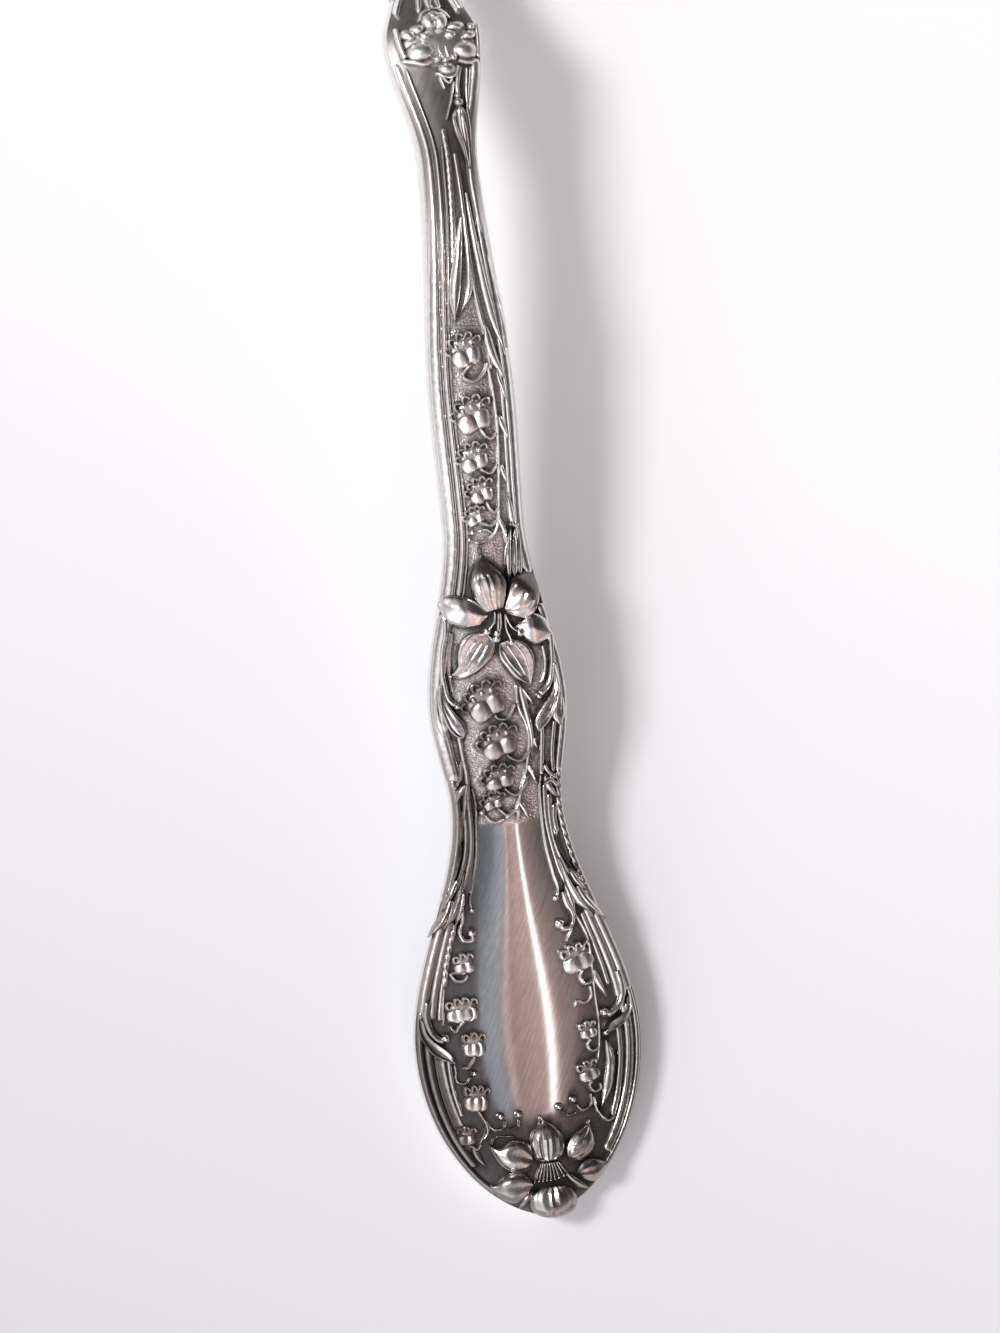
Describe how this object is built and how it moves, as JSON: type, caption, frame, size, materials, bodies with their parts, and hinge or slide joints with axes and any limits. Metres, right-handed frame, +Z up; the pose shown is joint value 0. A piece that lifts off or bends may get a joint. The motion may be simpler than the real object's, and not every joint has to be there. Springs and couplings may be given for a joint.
{
  "type": "serving fork",
  "caption": "Silver serving fork with a broad cupped head, long tines and an arched handle covered in applied lilies, bell flowers, leaves and reeded borders.",
  "frame": {"origin": "on the table, under the middle of the fork's length and width", "axes": "+X across the fork to the right of its face, +Y along it from the handle's tip to the tines, +Z up from the table, out of its face"},
  "size_m": [0.041, 0.232, 0.0204],
  "materials": {
    "polished_silver": "polished sterling silver with fine scratches",
    "cast_silver": "cast sterling silver, bright on the high places and oxidised in the recesses"
  },
  "bodies": {
    "root": {"fork_head": "polished_silver", "handle_body": "polished_silver", "knuckle_lily": "cast_silver", "left_bell_1": "cast_silver", "left_bell_2": "cast_silver", "left_bell_3": "cast_silver", "left_bell_4": "cast_silver", "left_bell_5": "cast_silver", "left_belly_reeds": "cast_silver", "left_long_leaf": "cast_silver", "left_shoulder_bead": "cast_silver", "left_shoulder_leaf": "cast_silver", "left_side_leaf": "cast_silver", "left_stem_reeds": "cast_silver", "left_swell_leaf": "cast_silver", "left_swell_reeds": "cast_silver", "left_tip_bead_1": "cast_silver", "left_tip_bead_2": "cast_silver", "left_tip_reeds": "cast_silver", "left_waist_leaf": "cast_silver", "left_waist_reeds": "cast_silver", "lower_bell_1": "cast_silver", "lower_bell_2": "cast_silver", "lower_bell_3": "cast_silver", "lower_bell_4": "cast_silver", "lower_bud": "cast_silver", "lower_stalk": "cast_silver", "middle_lily": "cast_silver", "right_bell_1": "cast_silver", "right_bell_2": "cast_silver", "right_bell_3": "cast_silver", "right_belly_reeds": "cast_silver", "right_long_leaf": "cast_silver", "right_shoulder_bead": "cast_silver", "right_shoulder_leaf": "cast_silver", "right_side_leaf": "cast_silver", "right_stem_reeds": "cast_silver", "right_swell_leaf": "cast_silver", "right_swell_reeds": "cast_silver", "right_tip_bead_1": "cast_silver", "right_tip_bead_2": "cast_silver", "right_tip_reeds": "cast_silver", "right_waist_leaf": "cast_silver", "right_waist_reeds": "cast_silver", "tip_lily": "cast_silver", "upper_bell_1": "cast_silver", "upper_bell_2": "cast_silver", "upper_bell_3": "cast_silver", "upper_bell_4": "cast_silver", "upper_bell_5": "cast_silver", "upper_stalk": "cast_silver"}
  },
  "joints": []
}
